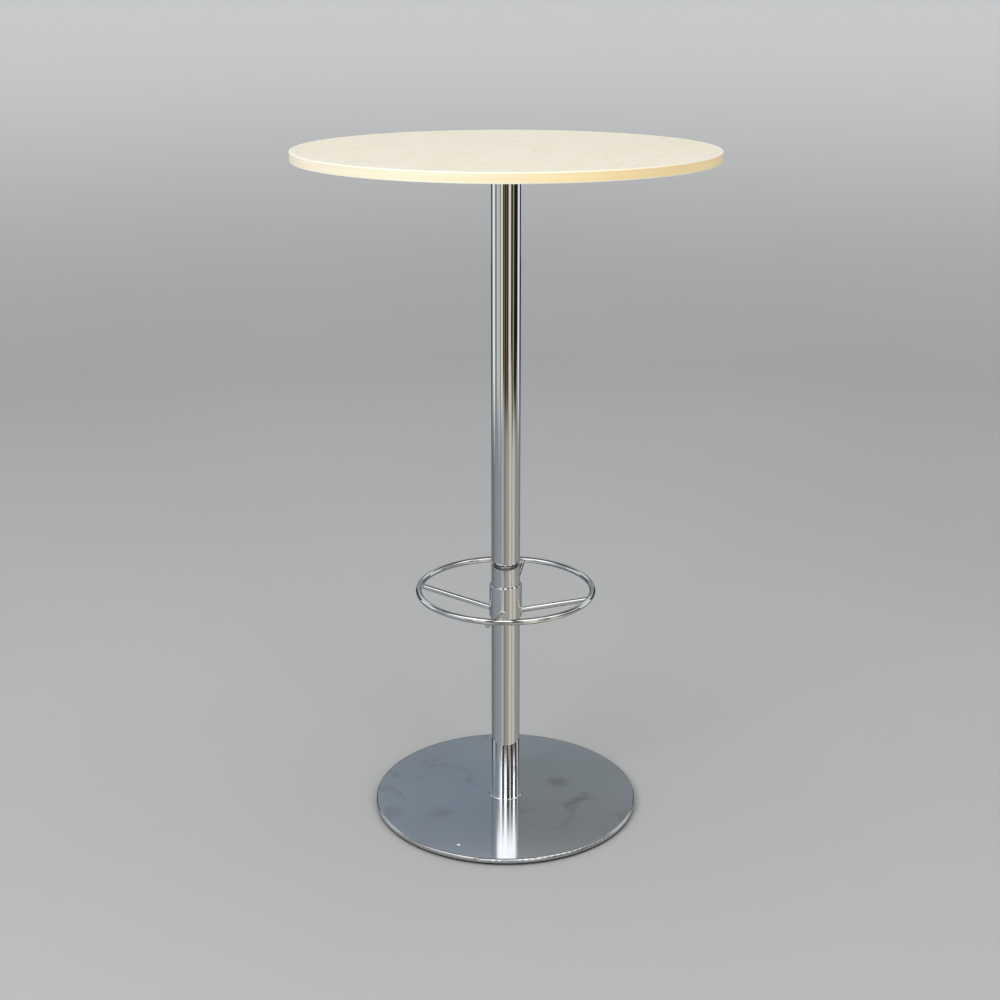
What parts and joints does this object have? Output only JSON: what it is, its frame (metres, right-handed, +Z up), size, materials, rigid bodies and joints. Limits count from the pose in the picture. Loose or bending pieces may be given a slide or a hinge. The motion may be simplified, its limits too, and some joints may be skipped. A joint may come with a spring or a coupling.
{
  "type": "pub table",
  "caption": "Round pedestal pub table: pale laminate top on a chrome column, with a foot ring that slides and turns on the column and a flat round steel base.",
  "frame": {"origin": "on the floor, under the column's axis, at the underside of the glides", "axes": "+Z up along the column; the foot ring's spokes lie along X and Y, and its clamps face +Y, the back"},
  "size_m": [0.5999, 0.6, 1],
  "materials": {
    "decor_laminate": "satin decor laminate, pale maple",
    "edge_band": "satin plastic edge band, pale maple",
    "board": "raw fibreboard",
    "backing_laminate": "matt balancing laminate",
    "chrome": "polished chrome plate",
    "satin_steel": "satin stainless steel",
    "polished_washer": "polished ring",
    "plain_steel": "turned steel",
    "black_plate": "black powder coat",
    "black_screws": "black oxide",
    "zinc_screws": "zinc plate",
    "nylon": "natural nylon",
    "brass": "turned brass"
  },
  "bodies": {
    "frame": {"top_core": "board", "top_laminate": "decor_laminate", "backing_laminate": "backing_laminate", "edge_band": "edge_band", "mounting_plate": "black_plate", "plate_screws": "zinc_screws", "column_tube": "chrome", "head_plug": "plain_steel", "head_screws": "black_screws", "foot_plug": "plain_steel", "foot_screws": "black_screws", "foot_washer": "polished_washer", "base_plate": "satin_steel", "base_glides": "nylon"},
    "liner": {"hub_liner": "nylon"},
    "foot_ring": {"foot_ring_hoop": "chrome", "foot_ring_spoke_right": "chrome", "foot_ring_spoke_back": "chrome", "foot_ring_spoke_left": "chrome", "foot_ring_spoke_front": "chrome", "foot_ring_hub": "chrome", "clamp_boss_right": "chrome", "clamp_boss_left": "chrome"},
    "pad_right": {"clamp_pad_right": "brass"},
    "screw_right": {"clamp_screw_right": "black_screws"},
    "pad_left": {"clamp_pad_left": "brass"},
    "screw_left": {"clamp_screw_left": "black_screws"}
  },
  "joints": [
    {"name": "foot_ring_slide", "type": "slide", "parent": "frame", "child": "liner", "axis": [0, 0, 1], "range_m": [-0.29, 0.62]},
    {"name": "foot_ring_turn", "type": "hinge", "parent": "liner", "child": "foot_ring", "pos_m": [0, 0, 0.346], "axis": [0, 0, 1], "continuous": true},
    {"name": "clamp_pad_right_travel", "type": "slide", "parent": "foot_ring", "child": "pad_right", "axis": [0.5, 0.866, 0], "range_m": [0, 0.001]},
    {"name": "clamp_screw_right_turn", "type": "hinge", "parent": "pad_right", "child": "screw_right", "pos_m": [0.01149, 0.01991, 0.33613], "axis": [0.5, 0.866, 0], "range_deg": [0, 360]},
    {"name": "clamp_pad_left_travel", "type": "slide", "parent": "foot_ring", "child": "pad_left", "axis": [-0.5, 0.866, 0], "range_m": [0, 0.001]},
    {"name": "clamp_screw_left_turn", "type": "hinge", "parent": "pad_left", "child": "screw_left", "pos_m": [-0.01149, 0.01991, 0.33613], "axis": [-0.5, 0.866, 0], "range_deg": [0, 360]}
  ],
  "couplings": [
    {"joint": "clamp_screw_right_turn", "follows": "clamp_pad_right_travel", "rad_per_m": 6283.2},
    {"joint": "clamp_screw_left_turn", "follows": "clamp_pad_left_travel", "rad_per_m": 6283.2}
  ]
}
